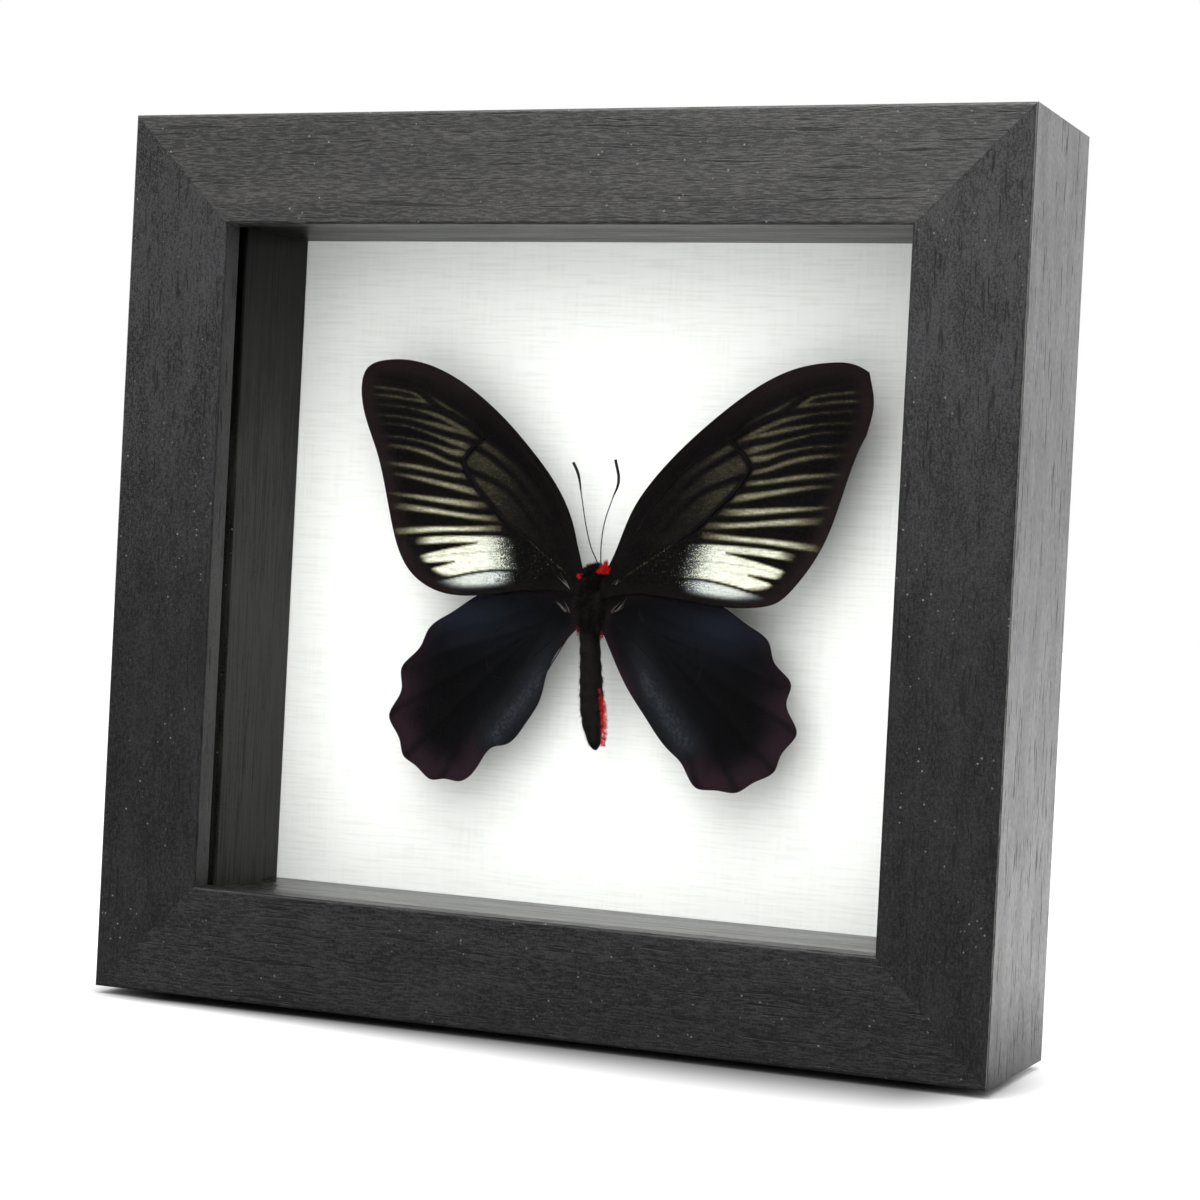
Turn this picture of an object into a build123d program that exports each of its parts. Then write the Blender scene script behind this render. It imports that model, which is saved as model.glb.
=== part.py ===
from build123d import *
import math
import os

os.makedirs("parts", exist_ok=True)

# A glazed wooden box frame that shows one spread butterfly.
# X runs to the right, Y to the back and Z up. The origin is the middle of
# the base, halfway through the depth of the rails. All sizes are in mm.

# ---- driving sizes: wooden frame ------------------------------------------
frame_width = 150.0
frame_height = 142.5
frame_depth = 33.0
face_width = 17.75        # front face of a rail, outside edge to sight edge
wall_width = 10.0         # solid wood outside the rebate
lip_thickness = 4.3       # front lip that the glass rests against
front_arris = 0.5         # rounding of the front edges
back_arris = 0.3          # rounding of the outer back edge

# ---- glass, spacers, back --------------------------------------------------
glass_thickness = 3.0
glass_seat_gap = 0.05     # behind the lip
glass_slack = 0.85        # between the glass and the spacers
spacer_setback = 0.8      # spacer face stands this far outside the sight edge
spacer_arris = 0.4
panel_thickness = 3.0
panel_recess = 0.3        # back panel sits this far inside the back face
card_thickness = 0.5
card_gap = 0.2            # between the spacers and the card
rebate_fit = 0.3          # all round clearance of glass, card and panel

# ---- turn buttons and their screws -----------------------------------------
button_thickness = 1.0
button_lift = 0.1         # running gap over the rail
button_reach = 13.0       # pivot to the centre of the tip
button_boss_radius = 4.2
button_tip_radius = 2.6
button_corner_distance = 40.0  # pivot to the end of its side rail
screw_radius = 1.25
screw_bore_gap = 0.06
screw_head_radius = 2.5
screw_head_height = 1.1
screw_length = 12.0
screw_slot_width = 0.6
screw_slot_depth = 0.5

# ---- sawtooth hanger -------------------------------------------------------
hanger_length = 45.0
hanger_height = 7.5
hanger_thickness = 0.8
hanger_standoff = 2.2     # bowed middle, clear of the rail
hanger_foot = 6.0         # flat end that is nailed down
hanger_slope = 4.0
tooth_pitch = 2.5
tooth_depth = 1.4
nail_radius = 0.6
nail_head_radius = 1.4
nail_head_height = 0.6
nail_length = 9.0

# ---- corner V nails --------------------------------------------------------
v_nail_leg = 4.0
v_nail_thickness = 0.5
v_nail_depth = 10.0

# ---- specimen --------------------------------------------------------------
spread_width = 87.7       # tip to tip; the drawn outlines below are scaled to it
specimen_x = 1.7          # middle of the spread wings
specimen_z = 66.0         # middle of the thorax
body_shift = 0.8          # middle of the thorax, to the left of the middle of the wings
wing_standoff = 8.9       # wing roots to the card
forewing_thickness = 0.3
hindwing_thickness = 0.3
wing_overlap_gap = 0.35   # forewing to hindwing where they overlap
forewing_rise = 1.6       # tips bow forward
hindwing_droop = 1.4      # outer edges bow back
body_drop = 0.8           # middle of the body behind the hindwing roots
thorax_width = 5.2
thorax_depth = 5.8
thorax_height = 9.6
head_width = 3.9
head_depth = 3.4
head_height = 3.1
head_shift = 0.1          # to the left of the middle of the thorax
head_lift = 0.6           # middle of the head above the thorax
eye_radius = 0.75
eye_spacing = 2.7         # between the middles of the eyes
eye_lift = 0.25           # above the middle of the head
eye_advance = 0.5         # in front of the middle of the head
abdomen_radius = 2.1
abdomen_length = 18.6
abdomen_shift = 0.4       # its start, to the left of the middle of the thorax
abdomen_overlap = 1.25    # its start, above the lower end of the thorax
abdomen_lean = 5.0        # degrees, tip towards the right
abdomen_rings = 8
groove_ratio = 0.93       # width at a groove against the ring beside it
belly_ratio = 0.17        # share by which the abdomen is stouter past its middle than at its start
belly_power = 2           # a higher power moves the stoutest place towards the tip
abdomen_taper = 7         # a higher power keeps it stout nearer to the tip
body_gap = 0.05           # between neighbouring pieces of the body
antenna_radius = 0.14
antenna_bend = 0.45       # share of the shorter run that a bend takes up
antenna_club_radius = 0.32
antenna_club_length = 2.6
pin_radius = 0.25
pin_bore_gap = 0.02
pin_depth = 2.5           # how far the pin goes into the back panel
pin_in_thorax = 3.5
foam_width = 5.0
foam_height = 6.0

# ---- outlines of the spread wings ------------------------------------------
# Each pair is (x, z) from specimen_x and specimen_z, seen from the front.
# Forewings run from the front root over the apex to the hind root.
left_forewing_outline = [
    (-1.4, 4.2), (-3.0, 8.4), (-4.2, 12.8), (-6.5, 17.7), (-12.2, 24.9), (-21.5, 33.3),
    (-32.8, 38.7), (-38.3, 38.9), (-41.8, 37.6), (-42.7, 32.9), (-39.5, 23.8), (-37.9, 18.6),
    (-36.4, 12.7), (-32.4, 4.2), (-27.6, 1.4), (-20.4, 1.0), (-1.4, 1.2),
]
right_forewing_outline = [
    (0.6, 4.2), (3.0, 8.6), (5.7, 15.7), (10.3, 22.3), (20.8, 32.2), (32.0, 38.8),
    (37.9, 39.9), (42.4, 39.4), (44.8, 37.2), (45.0, 34.0), (42.5, 24.5),
    (40.6, 18.2), (38.4, 12.0), (33.6, 4.7), (31.0, 2.4), (27.7, 1.5), (21.9, 1.3), (0.6, 1.0),
]
# Hindwings run from the front root round the scalloped edge to the hind root.
left_hindwing_outline = [
    (-1.2, 2.6), (-12.0, 3.0), (-20.7, 1.2), (-25.9, -2.2), (-29.7, -5.0), (-31.1, -8.0),
    (-34.5, -12.0), (-34.2, -15.0), (-36.3, -19.7), (-34.1, -23.5), (-33.3, -26.0),
    (-30.9, -27.5), (-27.7, -29.6), (-25.5, -29.3), (-22.8, -29.5), (-19.7, -27.1),
    (-16.7, -23.4), (-14.9, -23.0), (-11.3, -19.3), (-8.9, -15.2), (-7.9, -10.8),
    (-4.9, -5.5), (-1.2, -1.8),
]
right_hindwing_outline = [
    (0.4, 2.6), (12.0, 3.0), (21.6, 1.3), (25.9, -1.4), (29.4, -4.0), (30.3, -6.8),
    (33.3, -10.4), (32.7, -13.1), (34.6, -17.7), (32.2, -21.4), (31.3, -23.9),
    (27.9, -26.0), (25.3, -27.7), (21.9, -27.6), (18.7, -27.5), (15.8, -23.6),
    (13.9, -22.0), (9.7, -17.2), (6.2, -12.6), (3.0, -6.9), (0.4, -1.8),
]
# Antennae run from the head to the tip.
left_antenna_route = [(-0.1, 6.7), (-1.8, 10.0), (-3.7, 17.2), (-4.6, 21.3), (-5.5, 23.2)]
right_antenna_route = [(0.3, 6.7), (0.1, 10.6), (0.9, 15.4), (2.4, 19.6), (1.8, 23.9)]

# ---- derived places --------------------------------------------------------
front_y = -frame_depth / 2
back_y = frame_depth / 2
middle_z = frame_height / 2
lip_back_y = front_y + lip_thickness
glass_front_y = lip_back_y + glass_seat_gap
glass_back_y = glass_front_y + glass_thickness
spacer_front_y = glass_back_y + glass_slack
panel_back_y = back_y - panel_recess
panel_front_y = panel_back_y - panel_thickness
card_front_y = panel_front_y - card_thickness
spacer_back_y = card_front_y - card_gap
rebate_width = frame_width - 2 * wall_width
rebate_height = frame_height - 2 * wall_width
spacer_thickness = face_width - spacer_setback - wall_width
forewing_y = card_front_y - wing_standoff
hindwing_y = forewing_y + forewing_thickness + wing_overlap_gap
body_y = hindwing_y + body_drop
drawn_points = left_forewing_outline + right_forewing_outline
drawn_span = max(x for x, z in drawn_points) - min(x for x, z in drawn_points)
outline_scale = spread_width / drawn_span


def write(shape, node):
    """Name a finished piece and save it."""
    shape.label = node
    export_step(shape, f"parts/{node}.step")


def polygon(points):
    """Flat face inside straight edges."""
    return make_face(Polyline(*points, close=True))


def slab(width, depth, height, x=0.0, y=0.0, z=0.0):
    """Block centred in X and Z whose front face lies at y."""
    return Pos(x, y + depth / 2, z) * Box(width, depth, height)


# ---- wooden frame ----------------------------------------------------------
def rail(length):
    """Rebated rail along X, mitred at both ends, with its outside at z = 0."""
    section = polygon([
        (front_y, 0), (back_y, 0), (back_y, wall_width),
        (lip_back_y, wall_width), (lip_back_y, face_width), (front_y, face_width),
    ])
    front_corners = section.vertices().group_by(Axis.X)[0]
    section = fillet(front_corners, front_arris)
    outer_back_corner = section.vertices().group_by(Axis.X)[-1].sort_by(Axis.Y)[0]
    section = fillet(outer_back_corner, back_arris)
    bar = extrude(Plane.YZ * section, length / 2, both=True)
    mitred_plan = polygon([
        (-length / 2, 0), (length / 2, 0),
        (length / 2 - face_width, face_width), (-length / 2 + face_width, face_width),
    ])
    return bar & extrude(Plane.XZ * mitred_plan, frame_depth, both=True)


def on_side(shape, side):
    """Turn a piece made for the base onto another side of the frame."""
    places = {
        "bottom": Location((0, 0, 0)),
        "top": Location((0, 0, frame_height), (0, 180, 0)),
        "left": Location((-frame_width / 2, 0, middle_z), (0, 90, 0)),
        "right": Location((frame_width / 2, 0, middle_z), (0, -90, 0)),
    }
    return places[side] * shape


def v_nail(x_sign, z_sign):
    """Bent steel wedge driven across one mitre, flush with the back."""
    corner_x = frame_width / 2 - wall_width / 2
    corner_z = frame_height / 2 - wall_width / 2
    half = v_nail_thickness / 2
    across = math.sqrt(2) * half
    bend = [
        (0, -across), (v_nail_leg, v_nail_leg - across), (v_nail_leg - half, v_nail_leg + half - across),
        (0, across), (-v_nail_leg + half, v_nail_leg + half - across), (-v_nail_leg, v_nail_leg - across),
    ]
    wedge = extrude(Plane.XZ * polygon(bend), v_nail_depth / 2, both=True)
    turn = math.degrees(math.atan2(-x_sign, -z_sign))
    lowered = back_y - v_nail_depth / 2
    return Pos(x_sign * corner_x, lowered, middle_z + z_sign * corner_z) * Rot(0, turn, 0) * wedge


rails = {
    "bottom": on_side(rail(frame_width), "bottom"),
    "top": on_side(rail(frame_width), "top"),
    "left": on_side(rail(frame_height), "left"),
    "right": on_side(rail(frame_height), "right"),
}
v_nails = [v_nail(x_sign, z_sign) for x_sign in (-1, 1) for z_sign in (-1, 1)]


# ---- glass and spacers -----------------------------------------------------
def spacer(length):
    """Black fillet that keeps the card behind the glass, lying on the base rail."""
    depth = spacer_back_y - spacer_front_y
    bar = Pos(0, (spacer_front_y + spacer_back_y) / 2, wall_width + spacer_thickness / 2)
    bar = bar * Box(length, depth, spacer_thickness)
    inner_front = bar.edges().filter_by(Axis.X).sort_by(lambda edge: edge.center().Z - edge.center().Y)[-1]
    return fillet(inner_front, spacer_arris)


side_spacer_length = rebate_height - 2 * spacer_thickness
spacers = {
    "bottom": on_side(spacer(rebate_width), "bottom"),
    "top": on_side(spacer(rebate_width), "top"),
    "left": on_side(spacer(side_spacer_length), "left"),
    "right": on_side(spacer(side_spacer_length), "right"),
}
pane_width = rebate_width - 2 * rebate_fit
pane_height = rebate_height - 2 * rebate_fit
glass_pane = slab(pane_width, glass_thickness, pane_height, y=glass_front_y, z=middle_z)


# ---- turn buttons ----------------------------------------------------------
def turn_button():
    """Teardrop plate with its pivot at the origin and its arm pointing up."""
    boss = Circle(button_boss_radius)
    tip = Pos(0, button_reach) * Circle(button_tip_radius)
    plate = extrude(Plane.XZ * make_hull(boss.edges() + tip.edges()), -button_thickness)
    bore = Rot(90, 0, 0) * Cylinder(screw_radius + screw_bore_gap, 4 * button_thickness)
    plate = plate - bore
    outer_rim = plate.faces().sort_by(Axis.Y)[-1].outer_wire().edges()
    return fillet(outer_rim, button_thickness / 3)


def slotted_screw(shank_top_y):
    """Pan head screw along Y, head at the back, its rail face at y = 0."""
    head_base = shank_top_y
    shank_length = screw_length + head_base
    shank = Rot(90, 0, 0) * Cylinder(screw_radius, shank_length)
    shank = Pos(0, head_base - shank_length / 2, 0) * shank
    head = Rot(90, 0, 0) * Cylinder(screw_head_radius, screw_head_height)
    head = Pos(0, head_base + screw_head_height / 2, 0) * head
    head = fillet(head.edges().sort_by(Axis.Y)[-1], screw_head_height / 2)
    slot_y = head_base + screw_head_height - screw_slot_depth
    slot = slab(3 * screw_head_radius, 2 * screw_slot_depth, screw_slot_width, y=slot_y)
    return shank + (head - slot)


button_y = back_y + button_lift
head_gap = 2 * button_lift + button_thickness
pivot_x = frame_width / 2 - wall_width / 2
pivot_rise = frame_height / 2 - button_corner_distance
turn_buttons = {}
button_screws = []
for side, x_sign in (("left", -1), ("right", 1)):
    for level, z_sign, arm_turn in (("upper", 1, 0), ("lower", -1, 180)):
        pivot_z = middle_z + z_sign * pivot_rise
        button_place = Pos(x_sign * pivot_x, button_y, pivot_z) * Rot(0, arm_turn, 0)
        turn_buttons[f"{level}_{side}"] = button_place * turn_button()
        button_screws.append(Pos(x_sign * pivot_x, back_y, pivot_z) * slotted_screw(head_gap))


# ---- sawtooth hanger -------------------------------------------------------
def sawtooth_hanger():
    """Bowed strip along X with teeth on its lower edge, on the rail at y = 0."""
    half = hanger_length / 2
    knee = half - hanger_foot
    rise = knee - hanger_slope
    inner = [(-half, 0), (-knee, 0), (-rise, hanger_standoff), (rise, hanger_standoff), (knee, 0), (half, 0)]
    outer = [(x, y + hanger_thickness) for x, y in reversed(inner)]
    strip = extrude(polygon(inner + outer), hanger_height / 2, both=True)
    tooth_count = int(2 * rise / tooth_pitch)
    notch = polygon([
        (-tooth_pitch / 2, -tooth_depth), (tooth_pitch / 2, -tooth_depth),
        (tooth_pitch / 2, 0), (0, tooth_depth), (-tooth_pitch / 2, 0),
    ])
    for index in range(tooth_count):
        notch_x = (index - (tooth_count - 1) / 2) * tooth_pitch
        cutter = extrude(Plane.XZ * notch, 2 * hanger_standoff + 2 * hanger_thickness, both=True)
        strip = strip - Pos(notch_x, 0, -hanger_height / 2) * cutter
    return strip


def nail(seat_y):
    """Small brad along Y whose head rests at seat_y above the rail."""
    length = nail_length + seat_y
    shank = Pos(0, seat_y - length / 2, 0) * Rot(90, 0, 0) * Cylinder(nail_radius, length)
    head = Rot(90, 0, 0) * Cylinder(nail_head_radius, nail_head_height)
    head = Pos(0, seat_y + nail_head_height / 2, 0) * head
    head = fillet(head.edges().sort_by(Axis.Y)[-1], nail_head_height / 2)
    return shank + head


hanger_z = frame_height - wall_width / 2
hanger_place = Pos(0, back_y, hanger_z)
nail_x = hanger_length / 2 - hanger_foot / 2
hanger_nails = [hanger_place * Pos(side * nail_x, 0, 0) * nail(hanger_thickness) for side in (-1, 1)]
hanger = hanger_place * sawtooth_hanger()
for brad in hanger_nails:
    hanger = hanger - brad

# Everything driven into the rails leaves its own hole in the wood.
for side in rails:
    for driven in v_nails + button_screws + hanger_nails:
        rails[side] = rails[side] - driven

# ---- back panel, card and mount for the specimen ---------------------------
def specimen_point(x, z):
    """Place of a drawn point of the specimen in the frame."""
    return specimen_x + outline_scale * x, specimen_z + outline_scale * z


body_x = specimen_x - body_shift
thorax_back_y = body_y + thorax_depth / 2
foam_front_y = thorax_back_y + body_gap
foam_depth = card_front_y - foam_front_y
foam_block = slab(foam_width, foam_depth, foam_height, body_x, foam_front_y, specimen_z)
back_panel = slab(pane_width, panel_thickness, pane_height, y=panel_front_y, z=middle_z)
backing_card = slab(pane_width, card_thickness, pane_height, y=card_front_y, z=middle_z)
pin_front_y = thorax_back_y - pin_in_thorax
pin_back_y = panel_front_y + pin_depth
pin_length = pin_back_y - pin_front_y


def pin_rod(radius):
    """Straight rod on the pin's line."""
    rod = Rot(90, 0, 0) * Cylinder(radius, pin_length)
    return Pos(body_x, (pin_front_y + pin_back_y) / 2, specimen_z) * rod


mounting_pin = pin_rod(pin_radius)
pin_bore = pin_rod(pin_radius + pin_bore_gap)
foam_block = foam_block - pin_bore
back_panel = back_panel - pin_bore
backing_card = backing_card - pin_bore


# ---- body of the specimen --------------------------------------------------
def egg(width, depth, height, grow=0.0):
    """Ellipsoid with the given full sizes, grown all round."""
    factors = (width / 2 + grow, depth / 2 + grow, height / 2 + grow)
    return scale(Sphere(1.0), by=factors)


def thorax_form(grow=0.0):
    """Furry middle of the body, a plump egg."""
    return Pos(body_x, body_y, specimen_z) * egg(thorax_width, thorax_depth, thorax_height, grow)


head_x = body_x - head_shift
head_z = specimen_z + thorax_height / 2 + head_lift


def head_form(grow=0.0):
    """Round head in front of the thorax."""
    return Pos(head_x, body_y, head_z) * egg(head_width, head_depth, head_height, grow)


def eye(x_sign, grow=0.0):
    """Eye set into the side of the head."""
    place = Pos(head_x + x_sign * eye_spacing / 2, body_y - eye_advance, head_z + eye_lift)
    return place * Rot(0, 90, 0) * Sphere(eye_radius + grow)


def abdomen_form(grow=0.0):
    """Ringed abdomen, a turned form whose rings swell between shallow grooves."""
    radius = abdomen_radius + grow

    def half_width(share):
        stoutness = 1 - belly_ratio + belly_ratio * math.sin(math.pi * share ** belly_power)
        return radius * stoutness * math.sqrt(1 - share ** abdomen_taper)

    profile = []
    for index in range(abdomen_rings):
        groove = index / abdomen_rings
        swell = (index + 0.5) / abdomen_rings
        profile.append((groove_ratio * half_width(groove), -groove * abdomen_length))
        profile.append((half_width(swell), -swell * abdomen_length))
    profile.append((0, -abdomen_length))
    side = Spline(*profile)
    top = Line((0, 0), profile[0])
    axis = Line((0, -abdomen_length), (0, 0))
    turned = revolve(Plane.XZ * make_face([top, side, axis]), Axis.Z)
    start_z = specimen_z - thorax_height / 2 + abdomen_overlap
    return Pos(body_x - abdomen_shift, body_y, start_z) * Rot(0, -abdomen_lean, 0) * turned


eyes = [eye(-1), eye(1)]
thorax = thorax_form() - pin_bore
head = head_form() - thorax_form(body_gap) - eye(-1) - eye(1)
abdomen = abdomen_form() - thorax_form(body_gap)


# ---- wings -----------------------------------------------------------------
def camber_sheet(root_y, bow, thickness):
    """Thin sheet bent about Z that passes the roots at root_y and bows by bow at the tips."""
    reach = spread_width / 2
    left, right = specimen_x - reach, specimen_x + reach
    front = ThreePointArc((left, root_y + bow), (specimen_x, root_y), (right, root_y + bow))
    back = ThreePointArc((left, root_y + bow + thickness), (specimen_x, root_y + thickness),
                         (right, root_y + bow + thickness))
    ends = [Line(front @ 0, back @ 0), Line(front @ 1, back @ 1)]
    return extrude(make_face([front, back] + ends), frame_height)


def wing(outline, root_y, bow, thickness):
    """Cut one wing out of its bent sheet and seat its root on the thorax."""
    points = [specimen_point(x, z) for x, z in outline]
    edge = Spline(*points)
    root = Line(edge @ 1, edge @ 0)
    prism = extrude(Plane.XZ * make_face([edge, root]), frame_depth, both=True)
    blade = camber_sheet(root_y, bow, thickness) & prism
    for form in (thorax_form(body_gap), abdomen_form(body_gap), head_form(body_gap)):
        blade = blade - form
    return blade - eye(-1, body_gap) - eye(1, body_gap)


wings = {
    "left_forewing": wing(left_forewing_outline, forewing_y, -forewing_rise, forewing_thickness),
    "right_forewing": wing(right_forewing_outline, forewing_y, -forewing_rise, forewing_thickness),
    "left_hindwing": wing(left_hindwing_outline, hindwing_y, hindwing_droop, hindwing_thickness),
    "right_hindwing": wing(right_hindwing_outline, hindwing_y, hindwing_droop, hindwing_thickness),
}


# ---- antennae --------------------------------------------------------------
def antenna(route):
    """Thin feeler of straight runs and tangent arcs, with a slender club."""
    points = [specimen_point(x, z) for x, z in route]
    runs = [math.dist(a, b) for a, b in zip(points, points[1:])]
    radii = []
    for index in range(1, len(points) - 1):
        (ax, az), (bx, bz), (cx, cz) = points[index - 1:index + 2]
        turn = abs(math.atan2(cz - bz, cx - bx) - math.atan2(bz - az, bx - ax))
        radii.append(antenna_bend * min(runs[index - 1], runs[index]) / math.tan(turn / 2))
    path = Plane.XZ.offset(-body_y) * FilletPolyline(*points, radius=radii)
    start = Plane(path @ 0, z_dir=path % 0)
    feeler = sweep(start * Circle(antenna_radius), path)
    tip_point, tip_way = path @ 1, path % 1
    club = scale(Sphere(1.0), by=(antenna_club_radius, antenna_club_radius, antenna_club_length / 2))
    club = Plane(tip_point - tip_way * antenna_club_length / 2, z_dir=tip_way) * club
    return feeler + club - head_form(body_gap)


antennae = {
    "left_antenna": antenna(left_antenna_route),
    "right_antenna": antenna(right_antenna_route),
}

# ---- write every piece -----------------------------------------------------
for side, bar in rails.items():
    write(bar, f"{side}_rail")
for side, bar in spacers.items():
    write(bar, f"{side}_spacer")
write(Compound(children=v_nails), "corner_v_nails")
write(glass_pane, "glass_pane")
for place, button in turn_buttons.items():
    write(button, f"{place}_turn_button")
write(Compound(children=button_screws), "turn_button_screws")
write(hanger, "sawtooth_hanger")
write(Compound(children=hanger_nails), "hanger_nails")
write(back_panel, "back_panel")
write(backing_card, "backing_card")
write(foam_block, "foam_block")
write(mounting_pin, "mounting_pin")
write(thorax, "thorax")
write(head, "head")
write(Compound(children=eyes), "eyes")
write(abdomen, "abdomen")
for name, shape in {**wings, **antennae}.items():
    write(shape, name)
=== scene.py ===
import math
import random

import bmesh
import bpy
import numpy as np
from mathutils import Matrix, Quaternion, Vector, kdtree, noise


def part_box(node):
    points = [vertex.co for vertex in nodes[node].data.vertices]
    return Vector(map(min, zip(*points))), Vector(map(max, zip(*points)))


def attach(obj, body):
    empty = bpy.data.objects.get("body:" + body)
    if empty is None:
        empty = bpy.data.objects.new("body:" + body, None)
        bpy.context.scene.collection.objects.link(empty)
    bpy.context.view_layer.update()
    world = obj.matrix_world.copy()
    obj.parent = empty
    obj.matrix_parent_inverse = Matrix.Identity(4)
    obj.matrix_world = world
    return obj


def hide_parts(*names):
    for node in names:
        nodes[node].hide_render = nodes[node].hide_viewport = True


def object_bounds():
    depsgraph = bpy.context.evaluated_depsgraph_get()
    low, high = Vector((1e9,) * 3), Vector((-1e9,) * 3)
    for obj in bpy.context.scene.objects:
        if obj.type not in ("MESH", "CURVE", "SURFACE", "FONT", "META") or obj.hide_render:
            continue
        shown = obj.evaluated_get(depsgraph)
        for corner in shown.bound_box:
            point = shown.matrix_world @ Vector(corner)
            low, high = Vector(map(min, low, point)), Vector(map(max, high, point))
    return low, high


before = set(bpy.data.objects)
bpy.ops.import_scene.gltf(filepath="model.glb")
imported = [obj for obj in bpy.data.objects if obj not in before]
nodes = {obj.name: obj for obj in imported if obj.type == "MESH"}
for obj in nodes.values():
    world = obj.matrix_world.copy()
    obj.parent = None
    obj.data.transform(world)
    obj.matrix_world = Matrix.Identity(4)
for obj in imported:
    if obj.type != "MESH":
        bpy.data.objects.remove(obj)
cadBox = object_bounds()
mm = 0.001


def rgb(red, green, blue):
    # a colour as picked on screen, 0 to 255
    parts = [part / 255 for part in (red, green, blue)]
    return tuple(part / 12.92 if part < 0.04045 else ((part + 0.055) / 1.055) ** 2.4 for part in parts) + (1,)


def put(tree, kind, values=None, **settings):
    # adds a shader node and links or sets its sockets
    node = tree.nodes.new("ShaderNode" + kind)
    for key, value in settings.items():
        setattr(node, key, value)
    for socket, value in (values or {}).items():
        if isinstance(value, bpy.types.NodeSocket):
            tree.links.new(value, node.inputs[socket])
        else:
            node.inputs[socket].default_value = value
    return node


def calc(tree, operation, first, second=0.0):
    return put(tree, "Math", {0: first, 1: second}, operation=operation).outputs[0]


def plus(tree, first, second):
    return calc(tree, "ADD", first, second)


def times(tree, first, second):
    return calc(tree, "MULTIPLY", first, second)


def fade(tree, value, low, high, toLow=0.0, toHigh=1.0):
    # a soft step from one value to another
    sockets = {"Value": value, "From Min": low, "From Max": high, "To Min": toLow, "To Max": toHigh}
    return put(tree, "MapRange", sockets, interpolation_type="SMOOTHSTEP").outputs["Result"]


def mixColours(tree, factor, first, second):
    return put(tree, "Mix", {0: factor, 6: first, 7: second}, data_type="RGBA").outputs[2]


def grain(tree, coords, scale, detail=2.0, roughness=0.5, distortion=0.0):
    sockets = {"Vector": coords, "Scale": scale, "Detail": detail, "Roughness": roughness}
    sockets["Distortion"] = distortion
    return put(tree, "TexNoise", sockets).outputs[0]


def stretched(tree, coords, scale):
    return put(tree, "Mapping", {"Vector": coords, "Scale": scale}).outputs["Vector"]


def wavering(tree, coords, scale, amount):
    drift = put(tree, "TexNoise", {"Vector": coords, "Scale": scale, "Detail": 1.0}).outputs["Color"]
    drift = put(tree, "VectorMath", {0: drift, 1: (0.5, 0.5, 0.5)}, operation="SUBTRACT").outputs[0]
    drift = put(tree, "VectorMath", {0: drift, "Scale": amount}, operation="SCALE").outputs[0]
    return put(tree, "VectorMath", {0: coords, 1: drift}, operation="ADD").outputs[0]


def newMaterial(name):
    material = bpy.data.materials.new(name)
    material.use_nodes = True
    tree = material.node_tree
    shader = tree.nodes["Principled BSDF"]
    coords = put(tree, "TexCoord").outputs["Object"]
    return material, tree, shader, coords


def feed(tree, shader, colour=None, roughness=None, height=None, relief=0.1 * mm):
    if colour is not None:
        tree.links.new(colour, shader.inputs["Base Color"])
    if roughness is not None:
        tree.links.new(roughness, shader.inputs["Roughness"])
    if height is not None:
        bump = put(tree, "Bump", {"Height": height, "Distance": relief, "Strength": 1.0})
        tree.links.new(bump.outputs["Normal"], shader.inputs["Normal"])


def dress(material, *names):
    for name in names:
        mesh = nodes[name].data
        mesh.materials.clear()
        mesh.materials.append(material)


# Black stained, open grained wood. Each rail catches the light its own way, so each has its own look.
railWood = {
    "stain": (0.0009, 0.0008, 0.0011, 1),
    "streak": (0.0265, 0.0255, 0.0268, 1),
    "streakScale": 3600,
    "streakiness": 0.8,
    "sandScale": 4400,
    "sandiness": 1.15,
    "figureScale": 260,
    "alongGrain": 0.13,  # smaller draws the grain out longer
    "waviness": 0.9 * mm,
    "roughness": 0.40,
    "shine": 0.3,
    "relief": 0.05 * mm,
    "pores": 0.8,
    "poreScale": 1500,
    "dust": (0.17, 0.165, 0.15, 1),
    "dustScale": 1700,
    "highlightPatchiness": 0.5,
    "rubMarksAndEdgeHighlight": (0.30, 0.28, 0.25, 1),
    "edgeHighlightFrom": (0.28 * mm, 0.3 * mm),  # in from the outside and from the front
    "edgeHighlightTo": 0.08 * mm,
    "paintedLightByHeight": (55 * mm, 115 * mm),  # painted light and shade by height: between these heights the grain's lightness goes from the low factor to the high factor
    "paintedLightLow": 1.0,
    "paintedLightHigh": 1.0,
    "paintedGapShade": 0.0,  # painted shade: the dark band beside the glass, where the rebate shades the spacer
    "paintedGapShadeDepth": (1.6 * mm, 1.1 * mm),
}
# painted light: the top rail's stain and streaks are lighter than the other rails', as the light falls from
# above
topWood = dict(
    railWood, stain=(0.0045, 0.0043, 0.0044, 1), streak=(0.047, 0.045, 0.043, 1),
    shine=0.45, streakScale=4300, alongGrain=0.12, streakiness=1.0, sandiness=0.45,
)
# painted light: the uprights get lighter towards the top, as lit from above
uprightWood = dict(railWood, alongGrain=0.3, paintedLightLow=0.98, paintedLightHigh=2.05, streakiness=0.45, sandiness=1.0)
spacerWood = dict(
    railWood, stain=(0.0010, 0.0009, 0.0009, 1), streak=(0.018, 0.017, 0.015, 1), streakScale=1900,
    alongGrain=0.05, waviness=0.4 * mm, roughness=0.36, shine=0.15, relief=0.02 * mm, highlightPatchiness=0.0, pores=0.5,
    streakiness=1.0, sandiness=1.0,
)
topSpacerWood = dict(spacerWood, paintedGapShade=1.0)
baseSpacerWood = dict(spacerWood, shine=0.6, roughness=0.3)
# painted shade: the upright spacers get darker towards the top, in the top rail's shadow
uprightSpacerWood = dict(spacerWood, shine=0.1, paintedLightLow=3.0, paintedLightHigh=0.1)
acrossGrain, uprightGrain = 0, 2


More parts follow.
